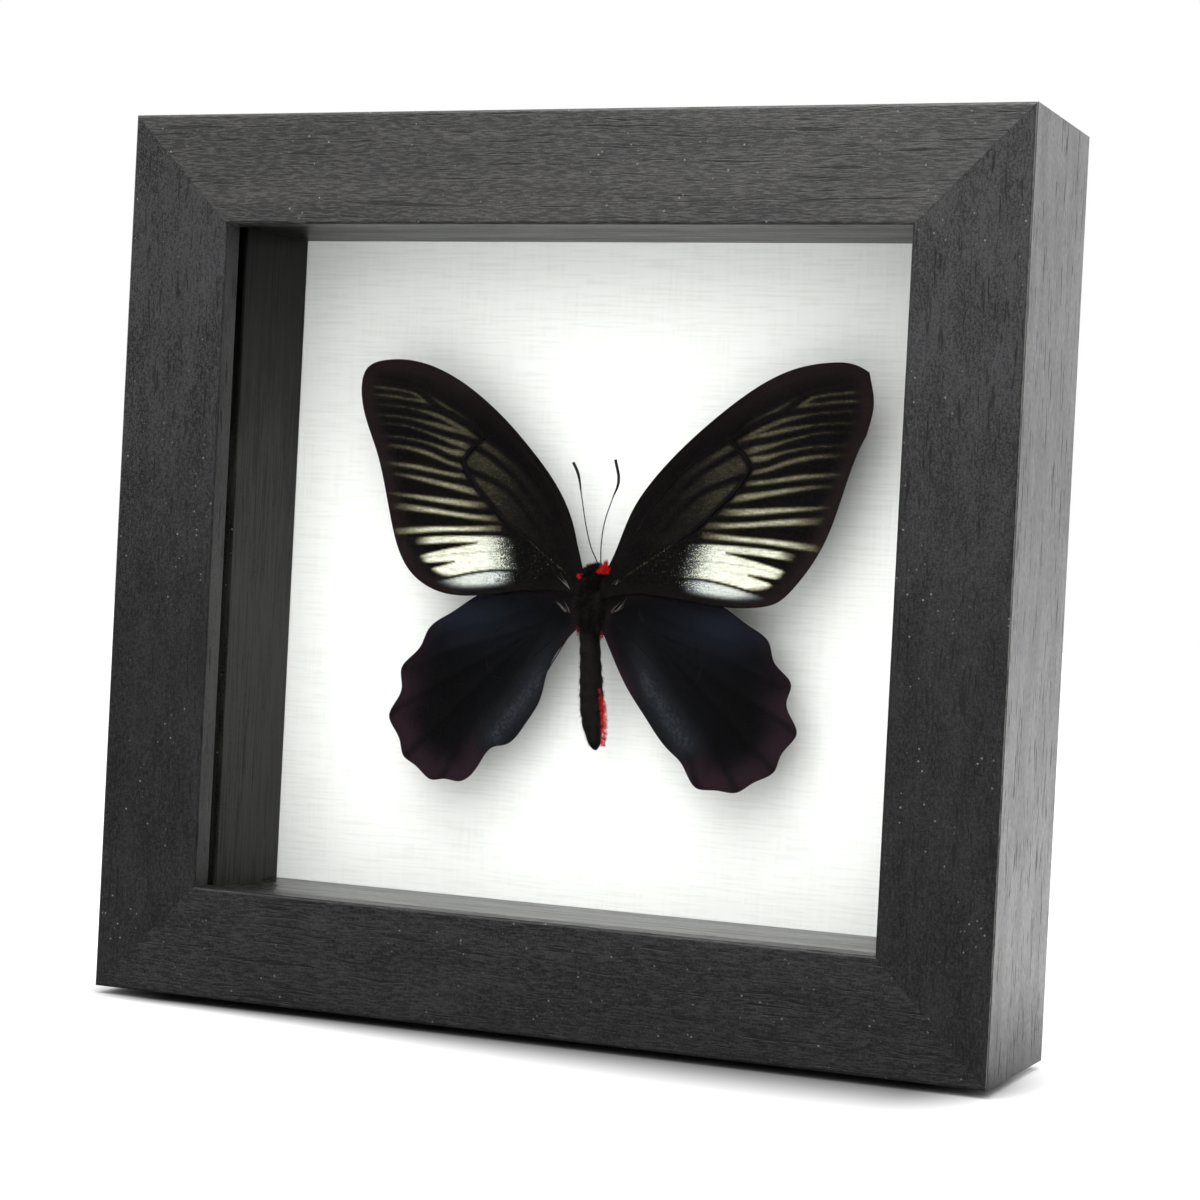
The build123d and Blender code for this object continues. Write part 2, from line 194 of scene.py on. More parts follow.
def dustSpecks(tree, coords, look):
    # rare dots that gather in loose clusters
    dots = put(tree, "TexVoronoi", {"Vector": coords, "Scale": look["dustScale"], "Randomness": 1.0})
    rare = put(tree, "SeparateColor", {0: dots.outputs["Color"]}).outputs[0]
    speck = times(tree, fade(tree, dots.outputs["Distance"], 0.36, 0.14), fade(tree, rare, 0.94, 0.985))
    cluster = fade(tree, grain(tree, coords, 90, 1.0), 0.40, 0.58, 0.0, 0.7)
    return times(tree, speck, cluster)


def paintedEdgeHighlight(tree, coords, place, look):
    # painted highlight along the outside front edges, in patches
    outside, front = cadBox[1].x, cadBox[0].y
    sideIn, frontIn = look["edgeHighlightFrom"]
    side = calc(tree, "ABSOLUTE", place.outputs["X"])
    atSide = fade(tree, side, outside - sideIn, outside - look["edgeHighlightTo"])
    atFront = fade(tree, place.outputs["Y"], front + frontIn, front + look["edgeHighlightTo"])
    patchy = fade(tree, grain(tree, coords, 420, 3.0), 0.36, 0.56, 0.15, look["highlightPatchiness"])
    return times(tree, times(tree, atSide, atFront), patchy)


def stainedWood(name, alongAxis, look):
    material, tree, shader, coords = newMaterial(name)
    place = put(tree, "SeparateXYZ", {0: coords})
    wavy = wavering(tree, coords, 110, look["waviness"])
    squeeze = [1.0, 1.0, 1.0]
    squeeze[alongAxis] = look["alongGrain"]
    along = stretched(tree, wavy, squeeze)
    streaks = grain(tree, along, look["streakScale"], 3.0, 0.65)
    sand = grain(tree, coords, look["sandScale"], 3.0, 0.75)
    figure = grain(tree, along, look["figureScale"], 2.0)
    lightness = times(tree, fade(tree, streaks, 0.42, 0.62), 0.62 * look["streakiness"])
    lightness = plus(tree, lightness, fade(tree, sand, 0.42, 0.66, 0.0, 0.50 * look["sandiness"]))
    lightness = plus(tree, lightness, fade(tree, figure, 0.35, 0.65, -0.07, 0.10))
    # painted light and shade: the grain is made lighter or darker by height
    paintedLightByHeight = fade(tree, place.outputs["Z"], *look["paintedLightByHeight"], look["paintedLightLow"], look["paintedLightHigh"])
    colour = mixColours(tree, times(tree, lightness, paintedLightByHeight), look["stain"], look["streak"])
    colour = mixColours(tree, dustSpecks(tree, coords, look), colour, look["dust"])
    # pores run further along the grain than the streaks do
    squeeze[alongAxis] = look["alongGrain"] * 0.3
    pores = grain(tree, stretched(tree, wavy, squeeze), look["poreScale"], 2.0, 0.6)
    pores = fade(tree, pores, 0.60, 0.68, 0.0, look["pores"])
    # painted shade: the top spacer's front, in the gap beside the glass, is coloured black
    ends, begins = [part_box("top_spacer")[0].y + depth for depth in look["paintedGapShadeDepth"]]
    paintedGapShadeBand = fade(tree, place.outputs["Y"], ends, begins, 0.0, look["paintedGapShade"])
    colour = mixColours(tree, calc(tree, "MAXIMUM", paintedGapShadeBand, pores), colour, (0.0, 0.0, 0.0, 1))
    # painted highlight: a light line along the outside front edges
    colour = mixColours(tree, paintedEdgeHighlight(tree, coords, place, look), colour, look["rubMarksAndEdgeHighlight"])
    height = plus(tree, times(tree, streaks, look["streakiness"]), times(tree, sand, 0.5 * look["sandiness"]))
    height = calc(tree, "SUBTRACT", height, times(tree, pores, 0.7))
    gloss = fade(tree, streaks, 0.3, 0.7, look["roughness"] + 0.05, look["roughness"] - 0.05)
    gloss = plus(tree, gloss, fade(tree, figure, 0.35, 0.65, 0.02, -0.02))
    gloss = plus(tree, gloss, times(tree, paintedGapShadeBand, 0.6))
    gloss = plus(tree, gloss, times(tree, pores, 0.25))
    feed(tree, shader, colour, gloss, height, look["relief"])
    shader.inputs["Specular IOR Level"].default_value = look["shine"]
    return material


dress(stainedWood("stainedWoodTop", acrossGrain, topWood), "top_rail")
dress(stainedWood("stainedWoodBase", acrossGrain, railWood), "bottom_rail")
dress(stainedWood("stainedWoodUpright", uprightGrain, uprightWood), "left_rail", "right_rail")
dress(stainedWood("spacerWoodAcross", acrossGrain, topSpacerWood), "top_spacer")
dress(stainedWood("spacerWoodBase", acrossGrain, baseSpacerWood), "bottom_spacer")
dress(stainedWood("spacerWoodUpright", uprightGrain, uprightSpacerWood), "left_spacer", "right_spacer")
print("wood stained")

# A clear sheet that mirrors a little, more so at a slant.
paneLook = {"tint": (0.985, 0.992, 0.988, 1), "ior": 1.5, "shine": 0.035}


def clearPane(look):
    material = bpy.data.materials.new("clearPane")
    material.use_nodes = True
    tree = material.node_tree
    tree.nodes.remove(tree.nodes["Principled BSDF"])
    coords = put(tree, "TexCoord").outputs["Object"]
    through = put(tree, "BsdfTransparent", {"Color": look["tint"]}).outputs[0]
    polish = fade(tree, grain(tree, coords, 40, 2.0), 0.3, 0.7, 0.01, 0.03)
    mirror = put(tree, "BsdfGlossy", {"Roughness": polish}).outputs[0]
    rim = put(tree, "Fresnel", {"IOR": look["ior"]}).outputs[0]
    blend = put(tree, "MixShader", {0: times(tree, rim, look["shine"]), 1: through, 2: mirror})
    tree.links.new(blend.outputs[0], tree.nodes["Material Output"].inputs["Surface"])
    return material


dress(clearPane(paneLook), "glass_pane")

linenLook = {
    "paper": (0.955, 0.945, 0.93, 1),
    "hollow": (0.89, 0.88, 0.86, 1),
    "threadScale": 2600,
    "mottleScale": 2600,
    "relief": 0.015 * mm,
    "shine": 0.3,
}


def linenCard(look):
    # embossed threads both ways, the level ones stronger
    material, tree, shader, coords = newMaterial("linenCard")
    across = grain(tree, stretched(tree, coords, (0.04, 1, 1)), look["threadScale"], 1.0, 0.6)
    upright = grain(tree, stretched(tree, coords, (1, 1, 0.04)), look["threadScale"] * 1.2, 1.0, 0.6)
    weave = plus(tree, times(tree, across, 0.68), times(tree, upright, 0.32))
    mottle = grain(tree, coords, look["mottleScale"], 2.0)
    # painted shade: the hollows between the embossed threads are coloured darker than the paper
    colour = mixColours(tree, fade(tree, weave, 0.36, 0.54), look["hollow"], look["paper"])
    colour = mixColours(tree, fade(tree, mottle, 0.35, 0.2, 0.0, 0.3), colour, look["hollow"])
    feed(tree, shader, colour, fade(tree, weave, 0.3, 0.7, 0.75, 0.6), weave, look["relief"])
    shader.inputs["Specular IOR Level"].default_value = look["shine"]
    return material


boardLook = {
    "light": (0.30, 0.18, 0.095, 1),
    "dark": (0.16, 0.085, 0.042, 1),
    "fleck": (0.07, 0.035, 0.018, 1),
    "fibreScale": 900,
    "fleckScale": 2400,
    "relief": 0.08 * mm,
}


def pressedBoard(look):
    material, tree, shader, coords = newMaterial("pressedBoard")
    fibres = grain(tree, coords, look["fibreScale"], 5.0, 0.7, 1.5)
    flecks = grain(tree, stretched(tree, coords, (0.4, 1, 1)), look["fleckScale"], 2.0)
    colour = mixColours(tree, fade(tree, fibres, 0.3, 0.7), look["dark"], look["light"])
    colour = mixColours(tree, fade(tree, flecks, 0.62, 0.75, 0.0, 0.7), colour, look["fleck"])
    feed(tree, shader, colour, fade(tree, fibres, 0.3, 0.7, 0.42, 0.6), fibres, look["relief"])
    return material


foamLook = {
    "cell": (0.86, 0.86, 0.85, 1),
    "wall": (0.62, 0.62, 0.6, 1),
    "cellScale": 2600,
    "relief": 0.12 * mm,
}


def cellFoam(look):
    material, tree, shader, coords = newMaterial("cellFoam")
    cells = put(tree, "TexVoronoi", {"Vector": coords, "Scale": look["cellScale"]}).outputs["Distance"]
    colour = mixColours(tree, fade(tree, cells, 0.1, 0.6), look["wall"], look["cell"])
    feed(tree, shader, colour, fade(tree, cells, 0.0, 0.6, 0.9, 0.7), cells, look["relief"])
    return material


dress(linenCard(linenLook), "backing_card")
dress(pressedBoard(boardLook), "back_panel")
dress(cellFoam(foamLook), "foam_block")

zincLook = {
    "face": (0.34, 0.35, 0.37, 1),
    "dull": (0.20, 0.21, 0.23, 1),
    "roughness": 0.36,
    "rubScale": 5000,
    "patchScale": 500,
    "relief": 0.02 * mm,
}
brightLook = dict(zincLook, face=(0.42, 0.42, 0.42, 1), dull=(0.27, 0.27, 0.28, 1), roughness=0.26)


def platedSteel(name, look):
    material, tree, shader, coords = newMaterial(name)
    rubMarksAndEdgeHighlight = grain(tree, stretched(tree, coords, (0.15, 1, 1)), look["rubScale"], 2.0)
    patches = grain(tree, coords, look["patchScale"], 4.0, 0.65)
    tone = mixColours(tree, fade(tree, patches, 0.35, 0.65), look["dull"], look["face"])
    coarse = fade(tree, rubMarksAndEdgeHighlight, 0.3, 0.7, look["roughness"], look["roughness"] + 0.18)
    feed(tree, shader, tone, coarse, rubMarksAndEdgeHighlight, look["relief"])
    shader.inputs["Metallic"].default_value = 1.0
    return material


buttonNodes = [name for name in nodes if name.endswith("turn_button")]
dress(platedSteel("zincPlate", zincLook), "sawtooth_hanger", *buttonNodes)
smallSteel = ["turn_button_screws", "hanger_nails", "mounting_pin", "corner_v_nails"]
dress(platedSteel("brightSteel", brightLook), *smallSteel)
print("glass, card, board and steel finished")

# Scales: the tones go from bare black to the palest dusting, and the rays draw them out along X.
scaleLook = {"rows": 5600, "dust": 2300, "rays": 3000, "relief": 0.03 * mm, "shine": 0.04}
foreLook = {
    "tones": [
        (0.0, rgb(5, 4, 4)), (0.12, rgb(22, 19, 16)), (0.25, rgb(57, 53, 41)), (0.40, rgb(94, 90, 71)),
        (0.55, rgb(125, 123, 105)), (0.70, rgb(158, 156, 138)),
        (0.85, rgb(188, 187, 171)), (1.0, rgb(212, 211, 197)),
    ],
    "rays": (0.2, 1, 1),
    "brown": rgb(24, 17, 16),
    "frost": rgb(183, 196, 206),
}
hindLook = {
    "tones": [(0.0, rgb(4, 4, 5)), (0.5, rgb(22, 24, 28)), (1.0, rgb(60, 62, 70))],
    "rays": (0.7, 1, 0.7),
    "brown": rgb(31, 20, 25),
    "frost": rgb(20, 23, 33),
}


def wingScales(name, look):
    material, tree, shader, coords = newMaterial(name)
    keys = ("pale", "tone", "frost", "brown")
    masks = {key: put(tree, "Attribute", attribute_name=key).outputs["Fac"] for key in keys}
    rows = grain(tree, coords, scaleLook["rows"], 1.0, 0.6)
    dust = grain(tree, coords, scaleLook["dust"], 2.0, 0.6)
    rays = grain(tree, stretched(tree, coords, look["rays"]), scaleLook["rays"], 2.0, 0.6)
    # single rows of scales drop out where the pale mask is weak
    stipple = plus(tree, times(tree, rows, 3.4), times(tree, rays, 0.7))
    stipple = calc(tree, "SUBTRACT", stipple, 2.05)
    ragged = plus(tree, calc(tree, "SUBTRACT", times(tree, masks["pale"], 2.0), 0.5), stipple)
    speckled = plus(tree, fade(tree, ragged, 0.1, 0.9), fade(tree, dust, 0.3, 0.7, -0.04, 0.04))
    level = times(tree, masks["tone"], speckled)
    level = times(tree, level, fade(tree, rays, 0.3, 0.7, 0.86, 1.08))
    level = plus(tree, level, fade(tree, dust, 0.45, 0.75, 0.0, 0.05))
    ramp = put(tree, "ValToRGB", {0: level})
    stops = ramp.color_ramp.elements
    for index, (place, colour) in enumerate(look["tones"]):
        stop = stops[index] if index < 2 else stops.new(place)
        stop.position = place
        stop.color = colour
    brownness = times(tree, masks["brown"], fade(tree, level, 0.3, 0.04))
    colour = mixColours(tree, brownness, ramp.outputs["Color"], look["brown"])
    frosting = times(tree, masks["frost"], fade(tree, rows, 0.25, 0.6, 0.45, 1.0))
    colour = mixColours(tree, frosting, colour, look["frost"])
    height = plus(tree, rows, times(tree, dust, 0.6))
    feed(tree, shader, colour, fade(tree, dust, 0.3, 0.7, 0.8, 0.65), height, scaleLook["relief"])
    shader.inputs["Specular IOR Level"].default_value = scaleLook["shine"]
    return material


hornLook = {"mottleScale": 2200, "relief": 0.03 * mm, "shine": 0.08}


def hornSurface(name, dark, light, roughness):
    # hair, horn and shell of the body
    material, tree, shader, coords = newMaterial(name)
    mottle = grain(tree, coords, hornLook["mottleScale"], 3.0, 0.6)
    tone = mixColours(tree, fade(tree, mottle, 0.35, 0.65), dark, light)
    coarse = fade(tree, mottle, 0.3, 0.7, roughness, roughness + 0.15)
    feed(tree, shader, tone, coarse, mottle, hornLook["relief"])
    shader.inputs["Specular IOR Level"].default_value = hornLook["shine"]
    return material


foreScales = wingScales("foreScales", foreLook)
hindScales = wingScales("hindScales", hindLook)
veinHorn = hornSurface("veinHorn", rgb(4, 4, 4), rgb(9, 8, 7), 0.7)

# The wings' sheets are cut from the nodes, sliced fine, curved, pleated and painted. Places on a
# wing are (out, up) in mm from the middle of the spread, drawn for the right side.
low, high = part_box("thorax")
wingCentre = (low + high) / 2 + Vector((0.8 * mm, 0, 0))
wingCut = {
    "step": 0.26 * mm,
    "thickness": 0.12 * mm,
    "pleat": 0.16 * mm,
    "ripple": 0.12 * mm,
    "rippleScale": 90,
    "veinMargin": 0.12,
}
foreVeins = {
    "third": [
        (21.9, 27.7), (23.2, 29.7), (25.5, 31.4), (29.8, 33.7), (34.8, 36.0), (37.5, 37.0), (42.3, 37.6),
    ],
    "fourth": [
        (21.9, 27.7), (24.0, 29.2), (28.6, 31.3), (30.6, 32.0), (33.6, 34.5), (35.5, 35.5), (43.2, 36.3),
    ],
    "fifth": [
        (21.9, 27.4), (24.0, 28.9), (28.6, 31.1), (30.6, 31.9), (35.5, 32.6), (39.4, 33.1), (44.6, 33.3),
    ],
    "upperMiddle": [(23.4, 26.5), (25.9, 27.3), (28.6, 27.7), (34.6, 29.3), (37.5, 29.8), (43.6, 30.0)],
    "middle": [(25.4, 23.4), (28.2, 23.9), (30.7, 25.0), (33.6, 25.8), (37.5, 26.4), (42.6, 26.5)],
    "lowerMiddle": [(23.4, 19.5), (27.8, 20.2), (31.7, 20.8), (35.5, 21.4), (41.4, 21.8)],
    "upperCubit": [(18.2, 15.1), (21.5, 15.0), (25.3, 15.2), (30.9, 15.9), (40.0, 16.8)],
    "lowerCubit": [(13.4, 10.9), (16.4, 11.2), (19.7, 11.3), (28.1, 11.0), (33.0, 10.5), (38.0, 9.8)],
    "anal": [(4.5, 4.0), (11.4, 5.2), (17.0, 5.6), (22.5, 4.9), (28.1, 3.5), (31.6, 2.7)],
}
foreCell = {
    "upper": [(3.6, 5.6), (5.9, 11.0), (8.6, 16.0), (11.4, 19.3), (14.7, 22.9), (18.1, 25.4), (21.7, 27.5)],
    "end": [
        (3.9, 4.4), (8.6, 7.7), (12.2, 10.2), (14.8, 12.0), (17.0, 13.4), (19.0, 15.4), (21.4, 17.7),
        (23.5, 19.8), (24.7, 21.6), (25.5, 23.4), (24.5, 24.8), (23.1, 26.2), (21.7, 27.5),
    ],
    "upperFold": [(8.0, 12.2), (12.0, 17.0), (16.3, 21.6), (18.2, 22.9), (21.1, 24.7), (22.8, 25.5)],
    "lowerFold": [(8.5, 9.6), (12.5, 14.5), (16.3, 18.4), (18.2, 19.6), (21.1, 20.7), (23.6, 21.6)],
}
foreCosta = [
    (2.2, 4.9), (4.0, 11.0), (6.6, 16.6), (11.2, 22.4), (21.2, 31.6),
    (26.0, 35.0), (31.0, 37.5), (35.0, 38.6), (38.8, 38.9),
]
foreSecond = [(15.5, 24.2), (21.1, 29.1), (26.3, 32.7), (31.7, 36.2), (37.0, 38.4)]
vannalFold = [(13.0, 7.4), (16.5, 8.3), (19.7, 8.4), (25.3, 7.9), (29.0, 7.4), (33.0, 6.6)]
darkWedge = {"line": [(21.5, 9.9), (28.1, 9.0), (32.0, 8.3), (37.0, 7.3)], "from": 22.0, "slope": 0.075}
darkDash = {"line": [(26.0, 6.5), (29.5, 5.8), (34.0, 5.0)], "from": 26.0, "slope": 0.09}
# One entry for each space between two veins, from the tip of the wing down: how pale its two
# streaks are, where they come in and fade out, and how wide the dark fold between them gets.
foreSpaces = [
    {"tones": (0.22, 0.22), "rise": (20.0, 26.0), "fall": (40.0, 45.5), "fold": (31.0, -0.2, 0.35)},
    {"tones": (0.26, 0.26), "rise": (30.0, 32.5), "fall": (40.5, 46.0), "fold": (35.0, -0.2, 0.35)},
    {"tones": (0.26, 0.28), "rise": (20.5, 26.0), "fall": (37.0, 47.5), "fold": (26.0, 0.1, 0.70)},
    {"tones": (0.31, 0.33), "rise": (21.5, 27.0), "fall": (34.0, 47.0), "fold": (25.0, 0.3, 0.85)},
    {"tones": (0.36, 0.42), "rise": (22.0, 28.0), "fall": (32.0, 46.0), "fold": (24.0, 0.4, 1.1)},
    {"tones": (0.48, 0.60), "rise": (17.5, 27.0), "fall": (30.0, 44.0), "fold": (20.5, 0.45, 1.3)},
    {"tones": (0.68, 0.84), "rise": (14.5, 26.0), "fall": (29.5, 41.5), "fold": (19.0, 0.45, 1.4)},
]
hindVeins = {
    "stem": [(1.6, 1.6), (9.0, 0.6), (15.0, -2.5), (22.0, -3.6), (30.0, -6.3)],
    "upperMiddle": [(17.6, -5.4), (25.0, -7.6), (33.0, -11.0)],
    "middle": [(18.6, -8.5), (26.0, -12.5), (34.2, -17.6)],
    "lowerMiddle": [(17.8, -11.2), (24.0, -17.0), (31.2, -23.9)],
    "upperCubit": [(15.5, -12.0), (20.5, -19.0), (25.2, -27.4)],
    "lowerCubit": [(11.6, -9.4), (15.5, -18.0), (18.8, -27.2)],
    "anal": [(2.4, -1.4), (8.5, -11.0), (13.4, -21.4)],
}
hindCell = [
    (15.0, -2.5), (17.9, -5.4), (18.6, -8.5), (17.8, -11.0),
    (15.5, -12.0), (11.6, -9.4), (6.5, -4.4), (1.8, -0.8),
]
greyHair = {"line": [(5.6, -6.4), (8.8, -11.0), (13.0, -16.4), (16.4, -20.6)], "width": 2.8, "tone": 0.62}
blueBand = {"centre": (22.0, -2.0), "size": (8.0, 4.2)}


def rounded(line, rounds=2):
    points = [np.array(point, float) for point in line]
    for _ in range(rounds):
        cut = [points[0]]
        for a, b in zip(points, points[1:]):
            cut += [a * 0.75 + b * 0.25, a * 0.25 + b * 0.75]
        points = cut + [points[-1]]
    return points


def sideDistance(places, line, reach=12.0):
    # distance from a line that runs outwards, positive below it
    points = rounded(line)
    firstWay = (points[0] - points[1]) / np.linalg.norm(points[0] - points[1])
    lastWay = (points[-1] - points[-2]) / np.linalg.norm(points[-1] - points[-2])
    points = [points[0] + firstWay * reach] + points + [points[-1] + lastWay * reach]
    best = np.full(len(places), 1e9)
    side = np.ones(len(places))
    for a, b in zip(points, points[1:]):
        way = b - a
        share = np.clip(((places - a) @ way) / max(way @ way, 1e-9), 0, 1)
        gap = places - (a + share[:, None] * way)
        length = np.hypot(gap[:, 0], gap[:, 1])
        nearer = length < best
        best[nearer] = length[nearer]
        side[nearer] = np.sign(way[1] * gap[nearer, 0] - way[0] * gap[nearer, 1])
    return best * np.where(side < 0, -1, 1)


def ease(value, low, high):
    share = np.clip((value - low) / (high - low), 0, 1)
    return share * share * (3 - 2 * share)


def paintForewing(places, edge):
    out, up = places[:, 0], places[:, 1]
    veins = [sideDistance(places, line) for line in foreVeins.values()]
    outside = sideDistance(places, foreCell["end"])
    below = sideDistance(places, foreCell["upper"])
    pale = np.zeros(len(places))
    tone = np.zeros(len(places))
    sag = np.zeros(len(places))
    for index, space in enumerate(foreSpaces):
        first, second = veins[index], -veins[index + 1]
        inside = (first > 0) & (second > 0)
        middle = np.abs(first - second) / 2
        begins, narrow, wide = space["fold"]
        opening = np.clip((out - begins + 2.5) / (36 - begins + 2.5), 0, 1) ** 0.7
        fold = narrow - 0.6 + (wide - narrow + 0.6) * opening
        gap = np.minimum(np.minimum(first, second) - 0.20, middle - fold + 0.3)
        streak = ease(gap, 0.0, 0.7) * ease(outside, 0.25, 0.8)
        streak = streak * ease(out, *space["rise"]) * (1 - ease(out, *space["fall"]))
        share = first / np.maximum(first + second, 1e-6)
        strength = space["tones"][0] + (space["tones"][1] - space["tones"][0]) * ease(share, 0.3, 0.7)
        pale = np.where(inside, ease(ease(out, *space["rise"]), 0.0, 0.35), pale)
        tone = np.where(inside, strength * streak, tone)
        sag = np.where(inside, np.sin(np.pi * share), sag)
    # the broad pale patch between the last two veins, and the bluish one below them
    first, second = veins[7], -veins[8]
    inside = (first > 0) & (second > 0)
    body = ease(first, 0.05, 0.42) * ease(second, 0.0, 0.30) * ease(edge, 2.2, 3.4)
    fold = np.abs(sideDistance(places, vannalFold))
    body = body * (0.78 + 0.22 * ease(fold, 0.05, 0.22))
    for dark in (darkWedge, darkDash):
        width = np.maximum(out - dark["from"], 0) * dark["slope"]
        line = np.abs(sideDistance(places, dark["line"]))
        body = body * np.where(out > dark["from"], ease(line, width - 0.15, width + 0.30), 1.0)
    body = body * (1 - ease(out + 0.5 * np.maximum(7 - up, 0), 30.0, 35.0))
    strength = (0.86 + 0.11 * ease(first, 0.6, 2.4)) * (0.8 + 0.2 * ease(out, 16.0, 22.0))
    tone = np.where(inside, strength * body, tone)
    pale = np.where(inside, ease(out - 0.3 * (up - 7), 12.5, 21.5), pale)
    hazy = inside * 0.16 * ease(out - 0.3 * (up - 7), 14.0, 19.0) * (1 - ease(out, 19.0, 25.0)) * body
    patch = (veins[8] > 0) * ease(veins[8], 0.10, 0.40) * ease(edge, 0.9, 2.2) * (1 - ease(out, 23.0, 31.0))
    tone = np.where(veins[8] > 0, 0.80 * patch, tone)
    pale = np.where(veins[8] > 0, ease(out, 12.5, 22.5), pale)
    frost = patch * 0.42 * ease(pale, 0.1, 0.7) + hazy
    # the dim cell with its two folds
    upperFold, lowerFold = [np.abs(sideDistance(places, foreCell[key])) for key in ("upperFold", "lowerFold")]
    cell = (outside < 0) & (below > 0)
    walls = np.minimum(np.minimum(upperFold, lowerFold), np.minimum(-outside, below))
    dimness = (0.05 + 0.11 * ease(out, 12.0, 21.0)) * ease(out, 6.0, 14.0)
    tone = np.where(cell, dimness * ease(walls, 0.15, 0.8), tone)
    pale = np.where(cell, 1.0, pale)
    brown = 0.8 * ease(edge, 3.5, 0.8) * ease(out, 14.0, 34.0) + 0.2 * ease(edge, 2.0, 0.5)
    brown = np.clip(brown + 0.25 * ease(up, 28.0, 36.0), 0, 1)
    return {"pale": pale, "tone": tone, "frost": frost, "brown": brown}, sag


def paintHindwing(places, edge):
    out, up = places[:, 0], places[:, 1]
    hair = np.abs(sideDistance(places, greyHair["line"], 0.0))
    tone = greyHair["tone"] * np.exp(-(hair / greyHair["width"]) ** 2) * ease(out, 4.5, 9.5)
    away = (places - np.array(blueBand["centre"])) / np.array(blueBand["size"])
    frost = 0.9 * np.exp(-(away ** 2).sum(1))
    brown = np.clip(ease(edge, 6.0, 1.0) * ease(up, -6.0, -18.0) + 0.4 * ease(edge, 2.0, 0.4), 0, 1)
    veins = [sideDistance(places, line) for line in hindVeins.values()]
    sag = np.zeros(len(places))
    for first, second in zip(veins, veins[1:]):
        inside = (first > 0) & (second < 0)
        share = first / np.maximum(first - second, 1e-6)
        sag = np.where(inside, np.sin(np.pi * share), sag)
    ray = np.min(np.abs(veins), axis=0)
    brown = brown * (1 - 0.6 * ease(ray, 0.9, 0.2) * ease(up, -6.0, -14.0))
    return {"pale": np.full(len(places), 0.75), "tone": tone, "frost": frost, "brown": brown}, sag


def sliced(bm, lowest, highest, step):
    # each cut takes only the faces ahead of the one before it
    for normal in (Vector((1, 0, 0)), Vector((0, 0, 1))):
        ahead = bm.faces[:]
        for index in range(1, int((highest - lowest).dot(normal) / step) + 1):
            cut = lowest + normal * (index * step)
            edges = {edge for face in ahead for edge in face.edges}
            verts = {vert for face in ahead for vert in face.verts}
            made = bmesh.ops.bisect_plane(
                bm, geom=list(verts) + list(edges) + ahead, dist=0.001 * mm, plane_co=cut, plane_no=normal,
            )
            faces = [part for part in made["geom"] if isinstance(part, bmesh.types.BMFace)]
            ahead = [face for face in faces if (face.calc_center_median() - cut).dot(normal) > 0]


def veinTubes(bm, lines, toWorld, sheetHeight, onWing, slotIndex):
    for line, thickStart, thickEnd in lines:
        kept = [place for place in map(toWorld, rounded(line, 3)) if onWing(*place)]
        if len(kept) < 3:
            continue
        curve = bpy.data.curves.new("veinLine", "CURVE")
        curve.dimensions = "3D"
        curve.bevel_depth = 1.0
        curve.bevel_resolution = 1
        curve.use_fill_caps = True
        spline = curve.splines.new("POLY")
        spline.points.add(len(kept) - 1)
        for index, (x, z) in enumerate(kept):
            share = index / (len(kept) - 1)
            spline.points[index].co = (x, sheetHeight(x, z), z, 1)
            spline.points[index].radius = (thickStart + (thickEnd - thickStart) * share) * mm
        holder = bpy.data.objects.new("veinLine", curve)
        tube = bpy.data.meshes.new_from_object(holder)
        before = len(bm.faces)
        bm.from_mesh(tube)
        bm.faces.ensure_lookup_table()
        for face in bm.faces[before:]:
            face.material_index = slotIndex
            face.smooth = True
        bpy.data.objects.remove(holder)
        bpy.data.curves.remove(curve)
        bpy.data.meshes.remove(tube)


